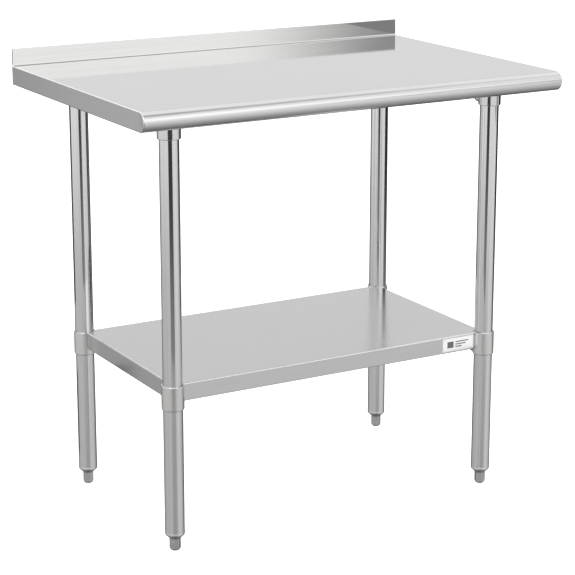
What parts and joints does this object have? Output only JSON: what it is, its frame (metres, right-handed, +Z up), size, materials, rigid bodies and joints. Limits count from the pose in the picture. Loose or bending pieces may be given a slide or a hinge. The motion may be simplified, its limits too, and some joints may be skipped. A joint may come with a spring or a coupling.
{
  "type": "stainless work table",
  "caption": "Stainless work table with a rolled front edge, rear upstand, undershelf that slides on round legs, and screw-adjusted levelling feet.",
  "frame": {"origin": "on the floor, at the middle of the table's footprint", "axes": "+Z up, +Y to the back (the upstand's side), +X to the right along the front"},
  "size_m": [0.914, 0.6099, 0.911],
  "materials": {
    "worktop_steel": "fine brushed grain running left to right, satin",
    "shelf_steel": "fine brushed grain running left to right, satin",
    "leg_steel": "bright polished tube with faint grain along its length",
    "socket_steel": "bright pressed steel",
    "sleeve_steel": "satin cast and linished",
    "channel_steel": "galvanised sheet with faint spangle",
    "fastener_steel": "zinc plated",
    "screw_steel": "black oxide",
    "foot_metal": "satin die-cast grey",
    "glide_nylon": "matt nylon",
    "label_film": "satin blank film"
  },
  "bodies": {
    "table_frame": {"worktop": "worktop_steel", "cross_channel_left": "channel_steel", "cross_channel_right": "channel_steel", "long_channel": "channel_steel", "channel_studs": "fastener_steel", "channel_nuts": "fastener_steel", "leg_socket_fl": "socket_steel", "leg_socket_fr": "socket_steel", "leg_socket_bl": "socket_steel", "leg_socket_br": "socket_steel", "leg_fl": "leg_steel", "leg_fr": "leg_steel", "leg_bl": "leg_steel", "leg_br": "leg_steel", "foot_insert_fl": "foot_metal", "foot_insert_fr": "foot_metal", "foot_insert_bl": "foot_metal", "foot_insert_br": "foot_metal"},
    "shelf": {"undershelf": "shelf_steel", "shelf_channel": "channel_steel", "shelf_label": "label_film", "shelf_sleeve_fl": "sleeve_steel", "shelf_sleeve_fr": "sleeve_steel", "shelf_sleeve_bl": "sleeve_steel", "shelf_sleeve_br": "sleeve_steel"},
    "glide_fl": {"glide_pad_fl": "glide_nylon"},
    "foot_fl": {"levelling_foot_fl": "foot_metal"},
    "shelf_screw_fl": {"sleeve_screw_fl": "screw_steel"},
    "top_screw_fl": {"socket_screw_fl": "screw_steel"},
    "glide_fr": {"glide_pad_fr": "glide_nylon"},
    "foot_fr": {"levelling_foot_fr": "foot_metal"},
    "shelf_screw_fr": {"sleeve_screw_fr": "screw_steel"},
    "top_screw_fr": {"socket_screw_fr": "screw_steel"},
    "glide_bl": {"glide_pad_bl": "glide_nylon"},
    "foot_bl": {"levelling_foot_bl": "foot_metal"},
    "shelf_screw_bl": {"sleeve_screw_bl": "screw_steel"},
    "top_screw_bl": {"socket_screw_bl": "screw_steel"},
    "glide_br": {"glide_pad_br": "glide_nylon"},
    "foot_br": {"levelling_foot_br": "foot_metal"},
    "shelf_screw_br": {"sleeve_screw_br": "screw_steel"},
    "top_screw_br": {"socket_screw_br": "screw_steel"}
  },
  "joints": [
    {"name": "shelf_height", "type": "slide", "parent": "table_frame", "child": "shelf", "axis": [0, 0, 1], "range_m": [-0.2, 0.4]},
    {"name": "foot_travel_fl", "type": "slide", "parent": "table_frame", "child": "glide_fl", "axis": [0, 0, -1], "range_m": [0, 0.024]},
    {"name": "foot_spin_fl", "type": "hinge", "parent": "glide_fl", "child": "foot_fl", "pos_m": [-0.357, -0.2, 0.012], "axis": [0, 0, -1], "range_deg": [0, 5760]},
    {"name": "shelf_screw_travel_fl", "type": "slide", "parent": "shelf", "child": "shelf_screw_fl", "axis": [0.7071, 0.7071, 0], "range_m": [0, 0.003]},
    {"name": "top_screw_travel_fl", "type": "slide", "parent": "table_frame", "child": "top_screw_fl", "axis": [0.7071, 0.7071, 0], "range_m": [0, 0.003]},
    {"name": "foot_travel_fr", "type": "slide", "parent": "table_frame", "child": "glide_fr", "axis": [0, 0, -1], "range_m": [0, 0.024]},
    {"name": "foot_spin_fr", "type": "hinge", "parent": "glide_fr", "child": "foot_fr", "pos_m": [0.357, -0.2, 0.012], "axis": [0, 0, -1], "range_deg": [0, 5760]},
    {"name": "shelf_screw_travel_fr", "type": "slide", "parent": "shelf", "child": "shelf_screw_fr", "axis": [-0.7071, 0.7071, 0], "range_m": [0, 0.003]},
    {"name": "top_screw_travel_fr", "type": "slide", "parent": "table_frame", "child": "top_screw_fr", "axis": [-0.7071, 0.7071, 0], "range_m": [0, 0.003]},
    {"name": "foot_travel_bl", "type": "slide", "parent": "table_frame", "child": "glide_bl", "axis": [0, 0, -1], "range_m": [0, 0.024]},
    {"name": "foot_spin_bl", "type": "hinge", "parent": "glide_bl", "child": "foot_bl", "pos_m": [-0.357, 0.208, 0.012], "axis": [0, 0, -1], "range_deg": [0, 5760]},
    {"name": "shelf_screw_travel_bl", "type": "slide", "parent": "shelf", "child": "shelf_screw_bl", "axis": [0.7071, -0.7071, 0], "range_m": [0, 0.003]},
    {"name": "top_screw_travel_bl", "type": "slide", "parent": "table_frame", "child": "top_screw_bl", "axis": [0.7071, -0.7071, 0], "range_m": [0, 0.003]},
    {"name": "foot_travel_br", "type": "slide", "parent": "table_frame", "child": "glide_br", "axis": [0, 0, -1], "range_m": [0, 0.024]},
    {"name": "foot_spin_br", "type": "hinge", "parent": "glide_br", "child": "foot_br", "pos_m": [0.357, 0.208, 0.012], "axis": [0, 0, -1], "range_deg": [0, 5760]},
    {"name": "shelf_screw_travel_br", "type": "slide", "parent": "shelf", "child": "shelf_screw_br", "axis": [-0.7071, -0.7071, 0], "range_m": [0, 0.003]},
    {"name": "top_screw_travel_br", "type": "slide", "parent": "table_frame", "child": "top_screw_br", "axis": [-0.7071, -0.7071, 0], "range_m": [0, 0.003]}
  ],
  "couplings": [
    {"joint": "foot_spin_fl", "follows": "foot_travel_fl", "rad_per_m": 4188.8},
    {"joint": "foot_spin_fr", "follows": "foot_travel_fr", "rad_per_m": 4188.8},
    {"joint": "foot_spin_bl", "follows": "foot_travel_bl", "rad_per_m": 4188.8},
    {"joint": "foot_spin_br", "follows": "foot_travel_br", "rad_per_m": 4188.8}
  ]
}
